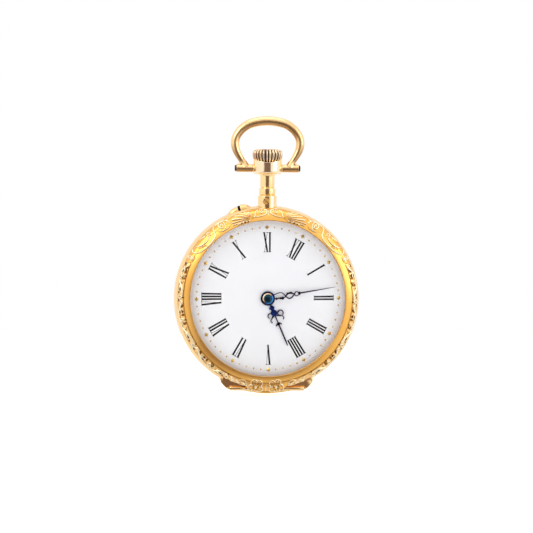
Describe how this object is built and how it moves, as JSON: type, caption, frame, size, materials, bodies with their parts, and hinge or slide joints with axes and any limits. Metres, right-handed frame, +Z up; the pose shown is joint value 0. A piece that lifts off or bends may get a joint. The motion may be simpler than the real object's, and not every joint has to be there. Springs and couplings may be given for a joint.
{
  "type": "fob watch",
  "caption": "Round pendant watch with chased hinged bezel, domed crystal, white roman dial, blued scroll hands, fluted crown, swinging stirrup bow and a hinged back over its mechanical movement",
  "frame": {"origin": "middle of the flat outer face of the back cover, on the axis of the hands", "axes": "+Z up through the pendant and bow, -Y out of the dial towards the reader, +X to the reader's right"},
  "size_m": [0.028, 0.0077, 0.0414],
  "materials": {
    "gold_band": "polished rose-yellow gold",
    "gold_chased": "chased yellow gold, satin hollows and bright edges",
    "gold_polished": "polished gold",
    "enamel": "white vitreous enamel",
    "blued_steel": "heat-blued, polished",
    "steel": "fine-grained and bevelled",
    "spring_steel": "tempered spring steel",
    "gilt_brass": "frosted gilding",
    "wheel_brass": "circular-grained brass",
    "ruby": "polished ruby",
    "crystal": "clear, polished"
  },
  "bodies": {
    "case": {"case_middle": "gold_band", "setting_boss": "gold_polished", "back_hinge_pin": "gold_polished", "bezel_hinge_pin": "gold_polished", "pendant_tube": "gold_polished", "stem_screw": "gold_polished", "pendant_cup": "gold_polished", "bow_screws": "blued_steel", "dial": "enamel", "mainplate": "gilt_brass", "barrel_bridge": "gilt_brass", "train_bridge": "gilt_brass", "balance_cock": "gilt_brass", "escape_cock": "gilt_brass", "jewels": "ruby", "bridge_screws": "blued_steel", "case_screws": "blued_steel", "crown_wheel_screw": "blued_steel", "click_screw": "blued_steel", "click_spring": "spring_steel", "hairspring": "spring_steel", "hairspring_stud": "steel", "cap_plate": "steel"},
    "bezel": {"bezel": "gold_chased", "crystal": "crystal"},
    "back": {"back_cover": "gold_band"},
    "cuvette": {"cuvette": "gold_polished"},
    "bow": {"bow": "gold_polished"},
    "crown": {"crown": "gold_polished", "winding_stem": "steel", "winding_pinion": "steel"},
    "sliding": {"sliding_pinion": "steel"},
    "setting_pin": {"setting_pin": "steel"},
    "yoke": {"yoke": "steel"},
    "crown_wheel": {"crown_wheel": "steel"},
    "ratchet": {"ratchet_wheel": "steel", "ratchet_screw": "blued_steel", "barrel_arbor": "steel"},
    "click": {"click": "steel"},
    "barrel": {"barrel_drum": "wheel_brass", "barrel_cover": "wheel_brass", "mainspring": "spring_steel"},
    "centre": {"centre_wheel": "wheel_brass", "centre_pinion": "steel"},
    "hands": {"cannon_pinion": "steel", "minute_hand": "blued_steel"},
    "third": {"third_wheel": "wheel_brass", "third_pinion": "steel"},
    "fourth": {"fourth_wheel": "wheel_brass", "fourth_pinion": "steel"},
    "escape": {"escape_wheel": "steel", "escape_pinion": "steel"},
    "minute_work": {"minute_wheel": "wheel_brass"},
    "hour_work": {"hour_wheel": "wheel_brass", "hour_hand": "blued_steel"},
    "setting_wheel": {"setting_wheel": "steel"},
    "balance": {"balance_wheel": "wheel_brass", "balance_staff": "steel"},
    "regulator": {"regulator": "steel"}
  },
  "joints": [
    {"name": "bow_swing", "type": "hinge", "parent": "case", "child": "bow", "pos_m": [0, -0.0033, 0.0196], "axis": [1, 0, 0], "range_deg": [-120, 120]},
    {"name": "bezel_open", "type": "hinge", "parent": "case", "child": "bezel", "pos_m": [0, -0.00475, -0.0135], "axis": [1, 0, 0], "range_deg": [0, 100]},
    {"name": "back_open", "type": "hinge", "parent": "case", "child": "back", "pos_m": [0, -0.00175, -0.0135], "axis": [-1, 0, 0], "range_deg": [0, 105]},
    {"name": "cuvette_open", "type": "hinge", "parent": "case", "child": "cuvette", "pos_m": [0, -0.00175, -0.0135], "axis": [-1, 0, 0], "range_deg": [0, 84]},
    {"name": "crown_turn", "type": "hinge", "parent": "case", "child": "crown", "pos_m": [0, -0.0033, 0.021], "axis": [0, 0, 1], "continuous": true},
    {"name": "crown_wheel_turn", "type": "hinge", "parent": "case", "child": "crown_wheel", "pos_m": [0, -0.0016, 0.0074], "axis": [0, 1, 0], "continuous": true},
    {"name": "ratchet_turn", "type": "hinge", "parent": "case", "child": "ratchet", "pos_m": [-0.00468, -0.0016, 0.0027], "axis": [0, 1, 0], "continuous": true},
    {"name": "setting_push", "type": "slide", "parent": "case", "child": "setting_pin", "axis": [0.3007, 0, -0.9537], "range_m": [0, 0.0003]},
    {"name": "sliding_shift", "type": "slide", "parent": "crown", "child": "sliding", "axis": [0, 0, -1], "range_m": [0, 0.0006]},
    {"name": "yoke_rock", "type": "hinge", "parent": "case", "child": "yoke", "pos_m": [-0.0047, -0.0033, 0.0088], "axis": [0, 1, 0], "range_deg": [0, 8.6]},
    {"name": "click_lift", "type": "hinge", "parent": "case", "child": "click", "pos_m": [-0.00902, -0.0016, -0.00034], "axis": [0, -1, 0], "range_deg": [0, 6]},
    {"name": "fourth_turn", "type": "hinge", "parent": "case", "child": "fourth", "pos_m": [0.00613, -0.003, -0.00295], "axis": [0, 1, 0], "continuous": true},
    {"name": "third_turn", "type": "hinge", "parent": "case", "child": "third", "pos_m": [0.00394, -0.003, -0.00035], "axis": [0, 1, 0], "continuous": true},
    {"name": "centre_turn", "type": "hinge", "parent": "case", "child": "centre", "pos_m": [0, -0.003, 0], "axis": [0, 1, 0], "continuous": true},
    {"name": "barrel_turn", "type": "hinge", "parent": "case", "child": "barrel", "pos_m": [-0.00468, -0.0035, 0.0027], "axis": [0, 1, 0], "continuous": true, "deforming": ["mainspring"]},
    {"name": "escape_turn", "type": "hinge", "parent": "case", "child": "escape", "pos_m": [0.00424, -0.003, -0.00565], "axis": [0, 1, 0], "continuous": true},
    {"name": "hands_turn", "type": "hinge", "parent": "case", "child": "hands", "pos_m": [0, -0.0055, 0], "axis": [0, 1, 0], "continuous": true},
    {"name": "minute_wheel_turn", "type": "hinge", "parent": "case", "child": "minute_work", "pos_m": [0, -0.0045, 0.00288], "axis": [0, 1, 0], "continuous": true},
    {"name": "hour_turn", "type": "hinge", "parent": "case", "child": "hour_work", "pos_m": [0, -0.0048, 0], "axis": [0, 1, 0], "continuous": true},
    {"name": "setting_wheel_turn", "type": "hinge", "parent": "case", "child": "setting_wheel", "pos_m": [0, -0.0045, 0.00624], "axis": [0, 1, 0], "continuous": true},
    {"name": "balance_swing", "type": "hinge", "parent": "case", "child": "balance", "pos_m": [0.00219, -0.003, -0.00565], "axis": [0, 1, 0], "range_deg": [-135, 135], "deforming": ["hairspring"]},
    {"name": "regulator_set", "type": "hinge", "parent": "case", "child": "regulator", "pos_m": [0.00219, -0.00135, -0.00565], "axis": [0, 1, 0], "range_deg": [-20, 20]}
  ],
  "couplings": [
    {"joint": "cuvette_open", "follows": "back_open", "ratio": 0.8},
    {"joint": "crown_wheel_turn", "follows": "crown_turn", "ratio": -0.375},
    {"joint": "ratchet_turn", "follows": "crown_turn", "ratio": 0.21429},
    {"joint": "sliding_shift", "follows": "setting_push", "ratio": 1.95},
    {"joint": "yoke_rock", "follows": "setting_push", "rad_per_m": 490},
    {"joint": "third_turn", "follows": "fourth_turn", "ratio": -0.13333},
    {"joint": "centre_turn", "follows": "fourth_turn", "ratio": 0.016667},
    {"joint": "barrel_turn", "follows": "fourth_turn", "ratio": -0.0020833},
    {"joint": "escape_turn", "follows": "fourth_turn", "ratio": -10},
    {"joint": "minute_wheel_turn", "follows": "hands_turn", "ratio": -0.33333},
    {"joint": "hour_turn", "follows": "hands_turn", "ratio": 0.083333},
    {"joint": "setting_wheel_turn", "follows": "hands_turn", "ratio": 0.6}
  ]
}
